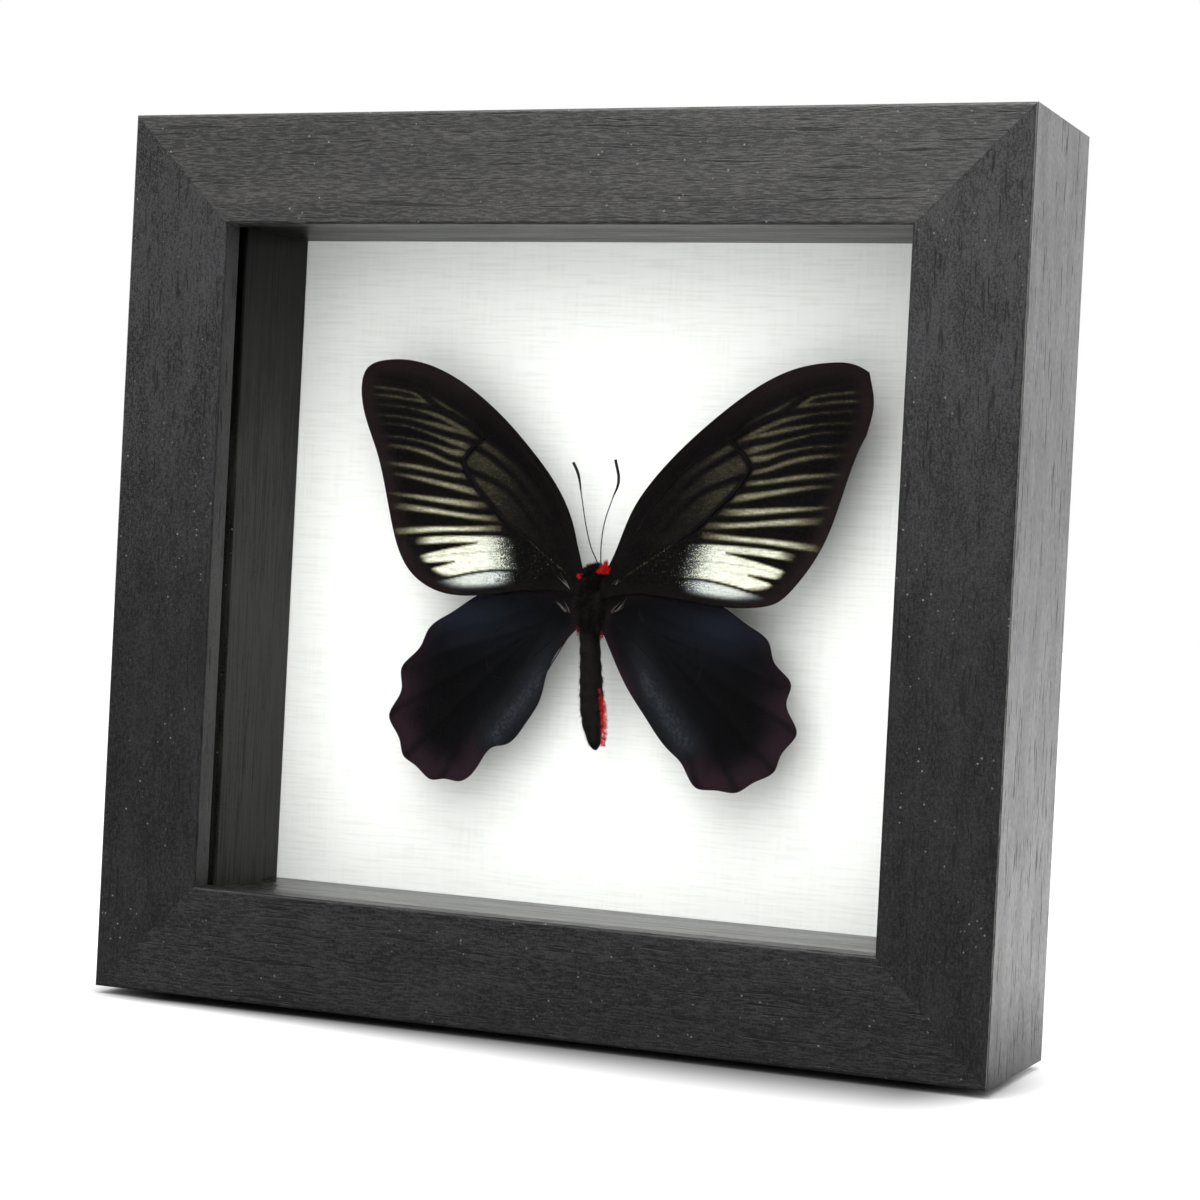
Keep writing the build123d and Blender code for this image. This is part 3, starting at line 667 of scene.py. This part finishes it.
def makeWing(node, pieceName, side, ratio, paint, veinLines, scales, tip=None):
    lowest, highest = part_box(node)
    bm = bmesh.new()
    bm.from_mesh(nodes[node].data)
    bmesh.ops.remove_doubles(bm, verts=bm.verts, dist=0.001 * mm)
    bm.normal_update()
    bmesh.ops.delete(bm, geom=[face for face in bm.faces if face.normal.y > -0.7], context="FACES")
    camber = np.polyfit([(v.co.x - wingCentre.x) ** 2 for v in bm.verts], [v.co.y for v in bm.verts], 1)
    for vert in bm.verts:
        vert.co.y = 0
    bmesh.ops.triangulate(bm, faces=bm.faces)
    sliced(bm, lowest, highest, wingCut["step"])
    bmesh.ops.remove_doubles(bm, verts=bm.verts, dist=0.01 * mm)
    if tip:  # the node's tip is flat, so it is pushed out round
        for vert in bm.verts:
            reach = min(1.0, max(0.0, (vert.co.x - tip["from"]) / (highest.x - tip["from"])))
            away = (vert.co.z - tip["height"]) / tip["spread"]
            vert.co.x += tip["push"] * reach ** 2 * math.exp(-(away ** 2))
    spots = np.array([vert.co for vert in bm.verts])
    rim = [vert.co.copy() for vert in bm.verts if vert.is_boundary]
    rimTree = kdtree.KDTree(len(rim))
    for index, spot in enumerate(rim):
        rimTree.insert(spot, index)
    rimTree.balance()
    edge = np.array([rimTree.find(vert.co)[2] for vert in bm.verts]) / mm
    sheetTree = kdtree.KDTree(len(bm.verts))
    for index, vert in enumerate(bm.verts):
        sheetTree.insert(vert.co, index)
    sheetTree.balance()
    out = side * (spots[:, 0] - wingCentre.x) / ratio[0]
    up = (spots[:, 2] - wingCentre.z) / ratio[1]
    masks, sag = paint(np.stack([out, up], 1) / mm, edge)

    def sheetHeight(x, z):
        wave = noise.noise(Vector((x, z, 0)) * wingCut["rippleScale"]) * wingCut["ripple"]
        return camber[1] + camber[0] * (x - wingCentre.x) ** 2 + wave

    def toWorld(point):
        return wingCentre.x + side * point[0] * ratio[0] * mm, wingCentre.z + point[1] * ratio[1] * mm

    def onWing(x, z):
        _, index, away = sheetTree.find(Vector((x, 0, z)))
        return away < wingCut["step"] and edge[index] > wingCut["veinMargin"]

    pleat = wingCut["pleat"] * np.clip(edge / 3, 0, 1)
    layers = {key: bm.verts.layers.float.new(key) for key in masks}
    for index, vert in enumerate(bm.verts):
        for key, layer in layers.items():
            vert[layer] = masks[key][index]
        vert.co.y = sheetHeight(vert.co.x, vert.co.z) + sag[index] * pleat[index]
    for face in bm.faces:
        face.smooth = True
    bmesh.ops.solidify(bm, geom=bm.faces[:], thickness=-wingCut["thickness"])
    veinTubes(bm, veinLines, toWorld, sheetHeight, onWing, 1)
    bmesh.ops.recalc_face_normals(bm, faces=bm.faces)
    mesh = bpy.data.meshes.new(pieceName)
    bm.to_mesh(mesh)
    bm.free()
    piece = bpy.data.objects.new(pieceName, mesh)
    bpy.context.scene.collection.objects.link(piece)
    mesh.materials.append(scales)
    mesh.materials.append(veinHorn)
    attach(piece, "back_unit")
    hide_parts(node)
    return piece


# Each vein's line with its thickness at the root and at the end, in mm.
foreTubes = [(line, 0.14, 0.08) for line in foreVeins.values()]
foreTubes += [(foreCell["upper"], 0.15, 0.16), (foreCell["end"], 0.12, 0.26), (foreCosta, 0.22, 0.12)]
foreTubes += [(foreSecond, 0.10, 0.07), (vannalFold, 0.04, 0.04)]
hindTubes = [(line, 0.11, 0.07) for line in hindVeins.values()] + [(hindCell, 0.10, 0.10)]
roundTip = {"from": 34.0 * mm, "push": 1.5 * mm, "height": 99.6 * mm, "spread": 4.9 * mm}
# The left wings are spread a little narrower in front and wider behind than the right ones.
sides = {
    "left": {"way": -1, "fore": (0.948, 0.972), "hind": (1.03, 1.06), "tip": None},
    "right": {"way": 1, "fore": (1.0, 1.0), "hind": (1.0, 1.0), "tip": roundTip},
}
for sideName, side in sides.items():
    makeWing(
        f"{sideName}_forewing", f"{sideName}_forewing_scales", side["way"], side["fore"],
        paintForewing, foreTubes, foreScales, side["tip"],
    )
    makeWing(
        f"{sideName}_hindwing", f"{sideName}_hindwing_scales", side["way"], side["hind"],
        paintHindwing, hindTubes, hindScales,
    )
print("wings spread")

furBlack = hornSurface("furBlack", rgb(4, 3, 3), rgb(12, 10, 9), 0.7)
furBrown = hornSurface("furBrown", rgb(22, 18, 15), rgb(44, 37, 29), 0.65)
furRed = hornSurface("furRed", rgb(146, 14, 12), rgb(204, 38, 32), 0.6)
furDullRed = hornSurface("furDullRed", rgb(70, 13, 17), rgb(118, 28, 32), 0.65)
furPale = hornSurface("furPale", rgb(92, 82, 78), rgb(142, 132, 126), 0.6)
bodyShell = hornSurface("bodyShell", rgb(7, 6, 5), rgb(20, 17, 14), 0.7)
eyeShell = hornSurface("eyeShell", rgb(12, 9, 8), rgb(30, 20, 15), 0.2)
feelerHorn = hornSurface("feelerHorn", rgb(18, 16, 16), rgb(38, 35, 33), 0.5)
dress(eyeShell, "eyes")


def hair(bm, root, way, length, radius, slotIndex):
    # a three sided spike, as thousands are made
    aside = way.orthogonal().normalized() * radius
    a, b, c = [bm.verts.new(root + Quaternion(way, turn) @ aside) for turn in (0.0, 2.1, 4.2)]
    tip = bm.verts.new(root + way * length)
    for corners in ((a, b, tip), (b, c, tip), (c, a, tip), (c, b, a)):
        bm.faces.new(corners).material_index = slotIndex


def anyWay():
    way = Vector((random.gauss(0, 1), random.gauss(0, 1), random.gauss(0, 1)))
    return way.normalized()


def sized(way, size):
    return Vector([part * share for part, share in zip(way, size)])


def finishPiece(bm, name, materials, replaced):
    bmesh.ops.recalc_face_normals(bm, faces=bm.faces)
    mesh = bpy.data.meshes.new(name)
    bm.to_mesh(mesh)
    bm.free()
    for material in materials:
        mesh.materials.append(material)
    piece = bpy.data.objects.new(name, mesh)
    bpy.context.scene.collection.objects.link(piece)
    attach(piece, "back_unit")
    if replaced:
        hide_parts(*replaced)
    return piece


def lumpyEgg(bm, centre, radii, lump, scale, slotIndex):
    made = bmesh.ops.create_icosphere(bm, subdivisions=4, radius=1.0)
    for vert in made["verts"]:
        way = vert.co.normalized()
        swell = 1 + lump * noise.fractal(way * scale + centre / mm, 1.0, 2.0, 3)
        vert.co = centre + sized(way, radii) * swell
    for face in {face for vert in made["verts"] for face in vert.link_faces}:
        face.material_index = slotIndex
        face.smooth = True


def fromSpread(out, forward, up):
    # mm from the middle of the spread, forward being towards the glass
    return wingCentre + Vector((out, -forward, up)) * mm


thoraxLook = {
    "hairs": 5200, "length": 1.1 * mm, "radius": 0.04 * mm, "lie": 0.7, "seed": 4,
    "core": 0.95, "lump": 0.24, "roots": 0.93,
}


def furredThorax(look):
    random.seed(look["seed"])
    lowest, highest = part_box("thorax")
    centre, radii = (lowest + highest) / 2, (highest - lowest) / 2
    bm = bmesh.new()
    lumpyEgg(bm, centre, radii * look["core"], look["lump"], 2.0, 0)
    for _ in range(look["hairs"]):
        way = anyWay()
        root = centre + sized(way, radii) * look["roots"]
        lie = (way + Vector((0, 0, -look["lie"])) + anyWay() * 0.5).normalized()
        brown = abs(way.x) > 0.5 and random.random() < 0.4
        hair(bm, root, lie, look["length"] * random.uniform(0.5, 1.25), look["radius"], 2 if brown else 1)
    return finishPiece(bm, "furred_thorax", [bodyShell, furBlack, furBrown], ["thorax"])


headLook = {
    "hairs": 1500, "length": 0.75 * mm, "radius": 0.035 * mm, "seed": 9,
    "core": 0.92, "lump": 0.2, "roots": 0.95, "bumpLump": 0.25, "bumpHair": 0.3,
}
# Palps and bumps round the head: (out, forward, up) and radius, in mm.
headBumps = [
    ((-2.1, 1.0, 5.2), 0.62), ((-1.4, 1.3, 5.6), 0.6), ((-0.65, 1.4, 6.0), 0.66), ((0.2, 1.3, 6.4), 0.62),
    ((0.7, 1.2, 5.3), 0.6), ((-1.4, 1.5, 4.3), 0.7), ((0.1, 1.8, 4.6), 0.75),
]


def furredHead(look):
    random.seed(look["seed"])
    lowest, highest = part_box("head")
    centre, radii = (lowest + highest) / 2, (highest - lowest) / 2
    bm = bmesh.new()
    lumpyEgg(bm, centre, radii * look["core"], look["lump"], 2.6, 0)
    balls = [(centre, radii * 0.9, 1.0)]
    for place, radius in headBumps:
        spot, bumpRadii = fromSpread(*place), Vector((radius, radius, radius)) * mm
        lumpyEgg(bm, spot, bumpRadii, look["bumpLump"], 2.0, 0)
        balls.append((spot, bumpRadii, look["bumpHair"]))
    for ball, size, share in balls:
        for _ in range(int(look["hairs"] * share)):
            way = anyWay()
            root = ball + sized(way, size) * look["roots"]
            lie = (way + Vector((0, -0.2, 0.4)) + anyWay() * 0.5).normalized()
            slot = 2 if random.random() < 0.3 else 1
            hair(bm, root, lie, look["length"] * random.uniform(0.4, 1.1), look["radius"], slot)
    return finishPiece(bm, "furred_head", [bodyShell, furBlack, furBrown], ["head"])


abdomenLook = {
    "hairs": 3200, "length": 0.34 * mm, "radius": 0.026 * mm, "lump": 0.06 * mm, "seed": 12,
    "bent": 7.0 * mm, "tipShift": (0.45 * mm, 0, -0.8 * mm),
}


def ringedAbdomen(look):
    random.seed(look["seed"])
    bm = bmesh.new()
    bm.from_mesh(nodes["abdomen"].data)
    bmesh.ops.remove_doubles(bm, verts=bm.verts, dist=0.001 * mm)
    bmesh.ops.recalc_face_normals(bm, faces=bm.faces)
    bm.normal_update()
    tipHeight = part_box("abdomen")[0].z
    for vert in bm.verts:
        reach = max(0.0, 1 - (vert.co.z - tipHeight) / look["bent"])
        vert.co += Vector(look["tipShift"]) * reach ** 2
        vert.co -= vert.normal * look["lump"] * (1 + noise.noise(vert.co * 1800))
    for face in bm.faces:
        face.smooth = True
    spots = [(face.calc_center_median(), face.normal.copy(), face.calc_area()) for face in bm.faces]
    areas = [spot[2] for spot in spots]
    for centre, normal, _ in random.choices(spots, weights=areas, k=look["hairs"]):
        lie = (normal * 0.5 + Vector((0.05, 0, -1)) + anyWay() * 0.35).normalized()
        root = centre - normal * 0.05 * mm + anyWay() * 0.25 * mm
        slot = 2 if random.random() < 0.45 else 1
        hair(bm, root, lie, look["length"] * random.uniform(0.5, 1.2), look["radius"], slot)
    return finishPiece(bm, "ringed_abdomen", [bodyShell, furBlack, furBrown], ["abdomen"])


furredThorax(thoraxLook)
furredHead(headLook)
ringedAbdomen(abdomenLook)

# Red tufts behind the head and the dull ones at the waist. Places are (out, forward, up), all in mm.
tuftLook = {"seed": 21, "radius": 0.065 * mm}
tufts = [
    {"centre": (1.65, 1.8, 6.05), "size": (0.80, 0.6, 0.62), "lean": (0.2, 0.4, 1.0), "hairs": (420, 0.85)},
    {"centre": (1.80, 1.8, 6.95), "size": (0.20, 0.3, 0.42), "lean": (0.0, 0.2, 1.0), "hairs": (90, 0.75)},
    {"centre": (0.85, 1.9, 5.75), "size": (0.40, 0.4, 0.30), "lean": (-0.3, 0.5, 0.8), "hairs": (90, 0.6)},
    {"centre": (-2.75, 1.5, 4.80), "size": (0.42, 0.4, 0.36), "lean": (0.3, 0.3, 0.8), "hairs": (130, 0.6)},
    {"centre": (-2.35, 1.5, 5.20), "size": (0.24, 0.3, 0.22), "lean": (0.2, 0.3, 0.8), "hairs": (50, 0.5)},
]
dullTufts = [
    {"centre": (-2.65, 1.0, -3.7), "size": (0.36, 0.5, 0.95), "lean": (-0.6, 0.5, -0.6), "hairs": (48, 0.55)},
    {"centre": (1.25, 1.0, -4.1), "size": (0.32, 0.5, 0.85), "lean": (0.6, 0.5, -0.6), "hairs": (42, 0.5)},
]
flankStrip = {
    "from": (1.2, 0.5, -12.8), "to": (2.2, 0.5, -21.9), "bulge": 0.45, "width": 0.40,
    "count": 620, "length": 0.5, "radius": 0.06 * mm,
}
lockLook = {"seed": 33, "radius": 0.03 * mm}
baseHairs = [
    {"from": (-4.4, 1.7, -0.9), "to": (-6.5, 1.8, 1.4), "count": 9, "spread": 0.45},
    {"from": (-4.0, 1.7, 2.8), "to": (-6.2, 1.8, 5.3), "count": 4, "spread": 0.3},
    {"from": (3.3, 1.7, -0.5), "to": (5.3, 1.8, 1.4), "count": 8, "spread": 0.4},
    {"from": (3.2, 1.7, 4.0), "to": (4.7, 1.8, 5.3), "count": 4, "spread": 0.3},
]


def growTuft(bm, tuft, radius, slotIndex):
    centre = fromSpread(*tuft["centre"])
    out, forward, up = tuft["lean"]
    lean = Vector((out, -forward, up)).normalized()
    count, length = tuft["hairs"]
    for _ in range(count):
        way = anyWay() * random.random() ** 0.4
        root = centre + sized(way, tuft["size"]) * mm
        lie = (lean + way * 0.6 + anyWay() * 0.35).normalized()
        hair(bm, root, lie, length * random.uniform(0.4, 1.15) * mm, radius, slotIndex)


def growStrip(bm, strip):
    # down the right flank of the abdomen
    start, end = Vector(strip["from"]), Vector(strip["to"])
    for _ in range(strip["count"]):
        share = random.random() ** 0.85
        spot = start.lerp(end, share)
        breadth = strip["width"] * (0.35 + 0.65 * math.sin(math.pi * min(1.0, share * 1.1)))
        spot.x += strip["bulge"] * math.sin(math.pi * share) + random.uniform(-1, 1) * breadth
        spot.y += random.uniform(-0.9, 0.6)
        lie = Vector((0.5, random.uniform(-0.4, 0.4), -0.8)) + anyWay() * 0.5
        length = strip["length"] * random.uniform(0.4, 1.2) * mm
        hair(bm, fromSpread(*spot), lie.normalized(), length, strip["radius"], 0)


def redTufts(look):
    random.seed(look["seed"])
    bm = bmesh.new()
    for slotIndex, group in enumerate((tufts, dullTufts)):
        for tuft in group:
            growTuft(bm, tuft, look["radius"], slotIndex)
    growStrip(bm, flankStrip)
    return finishPiece(bm, "red_tufts", [furRed, furDullRed], [])


def paleBaseHairs(look):
    # the few long hairs where the wings meet the body
    random.seed(look["seed"])
    bm = bmesh.new()
    for lock in baseHairs:
        start, end = fromSpread(*lock["from"]), fromSpread(*lock["to"])
        for _ in range(lock["count"]):
            root = start + anyWay() * lock["spread"] * mm + (end - start) * random.uniform(0, 0.3)
            root.y = start.y
            way = (end - start).normalized() + anyWay() * 0.2
            length = (end - start).length * random.uniform(0.35, 0.9)
            hair(bm, root, way.normalized(), length, look["radius"], 0)
    return finishPiece(bm, "pale_base_hairs", [furPale], [])


redTufts(tuftLook)
paleBaseHairs(lockLook)

# Antennae: (out, up) in mm from the head to the club.
feelers = {
    "left": [(-0.1, 6.5), (-0.75, 7.9), (-1.55, 9.4), (-2.6, 12.6), (-3.8, 18.0), (-4.6, 21.5), (-5.5, 23.2)],
    "right": [(0.25, 6.5), (0.08, 8.5), (0.1, 11.0), (0.5, 14.0), (1.6, 17.6), (2.5, 20.4), (1.8, 23.9)],
}
feelerLook = {"thin": 0.08, "stem": 0.11, "club": 0.25, "clubFrom": 0.82}


def antenna(sideName, route, look):
    curve = bpy.data.curves.new(f"{sideName}_feeler", "CURVE")
    curve.dimensions = "3D"
    curve.bevel_depth = 1.0
    curve.bevel_resolution = 2
    curve.use_fill_caps = True
    curve.resolution_u = 10
    spline = curve.splines.new("BEZIER")
    spline.bezier_points.add(len(route) - 1)
    for index, (out, up) in enumerate(route):
        knot = spline.bezier_points[index]
        share = index / (len(route) - 1)
        knot.co = fromSpread(out, 0, up)
        knot.handle_left_type = knot.handle_right_type = "AUTO"
        thickness = look["stem"] + (look["thin"] - look["stem"]) * share
        knot.radius = (look["club"] if share > look["clubFrom"] else thickness) * mm
    holder = bpy.data.objects.new(f"{sideName}_feeler", curve)
    mesh = bpy.data.meshes.new_from_object(holder)
    bm = bmesh.new()
    bm.from_mesh(mesh)
    for face in bm.faces:
        face.smooth = True
    bpy.data.objects.remove(holder)
    bpy.data.curves.remove(curve)
    bpy.data.meshes.remove(mesh)
    return finishPiece(bm, f"{sideName}_feeler", [feelerHorn], [f"{sideName}_antenna"])


for sideName, route in feelers.items():
    antenna(sideName, route, feelerLook)
print("body furred")

# Lift keeps the floor white to the camera. For glossy rays the floor glows behind the case, a painted
# reflection for the side's sheen, and is coloured dark in front of it, a painted dark reflection. The painted
# shadow in front of the case reaches further out at its right end.
floorLook = {
    "width": 6.0, "drop": 1.2 * mm, "colour": (0.93, 0.93, 0.93, 1), "tint": (0.95, 0.95, 0.95, 1),
    "lift": 0.08, "paintedSheenGlow": 1.4, "dark": (0.01, 0.01, 0.01, 1), "darkReflectionInFront": 0.85,
    "paintedShadow": 0.95, "shadeReach": (8 * mm, 44 * mm), "shadeFrom": -75 * mm, "shadeTo": 60 * mm,
}


def paleFloorPaint(look):
    material, tree, shader, coords = newMaterial("paleFloor")
    place = put(tree, "SeparateXYZ", {0: coords})
    across, depth = place.outputs["X"], place.outputs["Y"]
    rays = put(tree, "LightPath")
    glossy = rays.outputs["Is Glossy Ray"]
    tint = fade(tree, grain(tree, coords, 14, 3.0), 0.3, 0.7)
    colour = mixColours(tree, tint, look["colour"], look["tint"])
    # painted shadow on the floor in front of the case
    reach = fade(tree, across, look["shadeFrom"], look["shadeTo"], *look["shadeReach"])
    away = calc(tree, "DIVIDE", calc(tree, "SUBTRACT", cadBox[0].y, depth), reach)
    paintedShadow = calc(tree, "POWER", fade(tree, away, 1.0, -0.2), 1.5)
    paintedShadow = times(tree, paintedShadow, fade(tree, calc(tree, "ABSOLUTE", across), 85 * mm, 62 * mm))
    paintedShadow = times(tree, paintedShadow, fade(tree, depth, 14 * mm, -8 * mm, 0.0, look["paintedShadow"]))
    # painted dark reflection: for glossy rays the floor is dark in front of the case
    darkReflectionInFront = times(tree, glossy, fade(tree, depth, 20 * mm, -20 * mm, 0.0, look["darkReflectionInFront"]))
    colour = mixColours(tree, calc(tree, "MAXIMUM", paintedShadow, darkReflectionInFront), colour, look["dark"])
    feed(tree, shader, colour)
    shader.inputs["Roughness"].default_value = 0.8
    shader.inputs["Specular IOR Level"].default_value = 0.1
    seen = times(tree, rays.outputs["Is Camera Ray"], fade(tree, paintedShadow, 0.0, 0.4, look["lift"], 0.0))
    # painted reflection: for glossy rays the floor glows behind the case
    behind = fade(tree, depth, 20 * mm, 120 * mm, 0.0, look["paintedSheenGlow"])
    tree.links.new(plus(tree, seen, times(tree, glossy, behind)), shader.inputs["Emission Strength"])
    shader.inputs["Emission Color"].default_value = (1, 1, 1, 1)
    return material


def paleFloor(look):
    bm = bmesh.new()
    bmesh.ops.create_grid(bm, x_segments=8, y_segments=8, size=look["width"] / 2)
    bmesh.ops.translate(bm, vec=(0, 0, cadBox[0].z - look["drop"]), verts=bm.verts)
    mesh = bpy.data.meshes.new("pale_floor")
    bm.to_mesh(mesh)
    bm.free()
    mesh.materials.append(paleFloorPaint(look))
    floor = bpy.data.objects.new("pale_floor", mesh)
    bpy.context.scene.collection.objects.link(floor)


# Soft light falls evenly, while what the gloss mirrors is dark in front and bright behind and above.
surroundings = {"soft": 1.34, "front": 0.05, "back": 1.9, "above": 1.6}


def whiteRoom(look):
    world = bpy.data.worlds.new("whiteRoom")
    bpy.context.scene.world = world
    world.use_nodes = True
    tree = world.node_tree
    tree.nodes.clear()
    way = put(tree, "TexCoord").outputs["Generated"]
    parts = put(tree, "SeparateXYZ", {0: way})
    depth = parts.outputs["Y"]
    rays = put(tree, "LightPath")
    above = fade(tree, parts.outputs["Z"], 0.05, 0.45, 0.0, look["above"])
    above = times(tree, above, fade(tree, depth, 0.1, -0.4))
    mirrored = plus(tree, fade(tree, depth, -0.9, 0.9, look["front"], look["back"]), above)
    level = put(tree, "Mix", {0: rays.outputs["Is Glossy Ray"], 2: look["soft"], 3: mirrored}).outputs[0]
    room = put(tree, "Background", {"Color": (1, 1, 1, 1), "Strength": level}).outputs[0]
    shown = put(tree, "Background", {"Color": (1, 1, 1, 1), "Strength": 1.0}).outputs[0]
    seen = calc(tree, "MAXIMUM", rays.outputs["Is Camera Ray"], rays.outputs["Is Transmission Ray"])
    mix = put(tree, "MixShader", {0: seen, 1: room, 2: shown}).outputs[0]
    output = put(tree, "OutputWorld")
    tree.links.new(mix, output.inputs["Surface"])


lamps = [
    {"name": "key", "place": (0.0, -0.52, 0.44), "aim": (0, 0, 0.07), "size": 0.6, "power": 2.1},
    {"name": "nearTop", "place": (0.0, -0.13, 0.36), "aim": (0, -0.02, 0.07), "size": 0.24, "power": 0.7},
]


def softLamp(look):
    light = bpy.data.lights.new(look["name"], "AREA")
    light.shape = "SQUARE"
    light.size = look["size"]
    light.energy = look["power"]
    lamp = bpy.data.objects.new(look["name"], light)
    bpy.context.scene.collection.objects.link(lamp)
    place, aim = Vector(look["place"]), Vector(look["aim"])
    turn = (aim - place).to_track_quat("-Z", "Y").to_matrix().to_4x4()
    lamp.matrix_world = Matrix.Translation(place) @ turn


# The photograph's own viewpoint, fitted to the frame's corners.
viewer = {
    "place": (0.178456, -0.421861, 0.072371),
    "right": (0.92286288, 0.38178021, 0.05067527),
    "up": (-0.05099574, -0.00928565, 0.9986557),
    "forward": (-0.38173753, 0.9242065, -0.01089978),
    "lens": 86.49,
}


def photoCamera(look):
    data = bpy.data.cameras.new("photoCamera")
    data.sensor_width = 36
    data.lens = look["lens"]
    data.clip_start = 0.01
    camera = bpy.data.objects.new("photoCamera", data)
    bpy.context.scene.collection.objects.link(camera)
    columns = [Vector(look["right"]), Vector(look["up"]), -Vector(look["forward"])]
    turn = Matrix(columns).transposed().to_4x4()
    camera.matrix_world = Matrix.Translation(Vector(look["place"])) @ turn
    bpy.context.scene.camera = camera


paleFloor(floorLook)
whiteRoom(surroundings)
for look in lamps:
    softLamp(look)
photoCamera(viewer)
bpy.context.scene.view_settings.view_transform = "Standard"
print("stage lit")
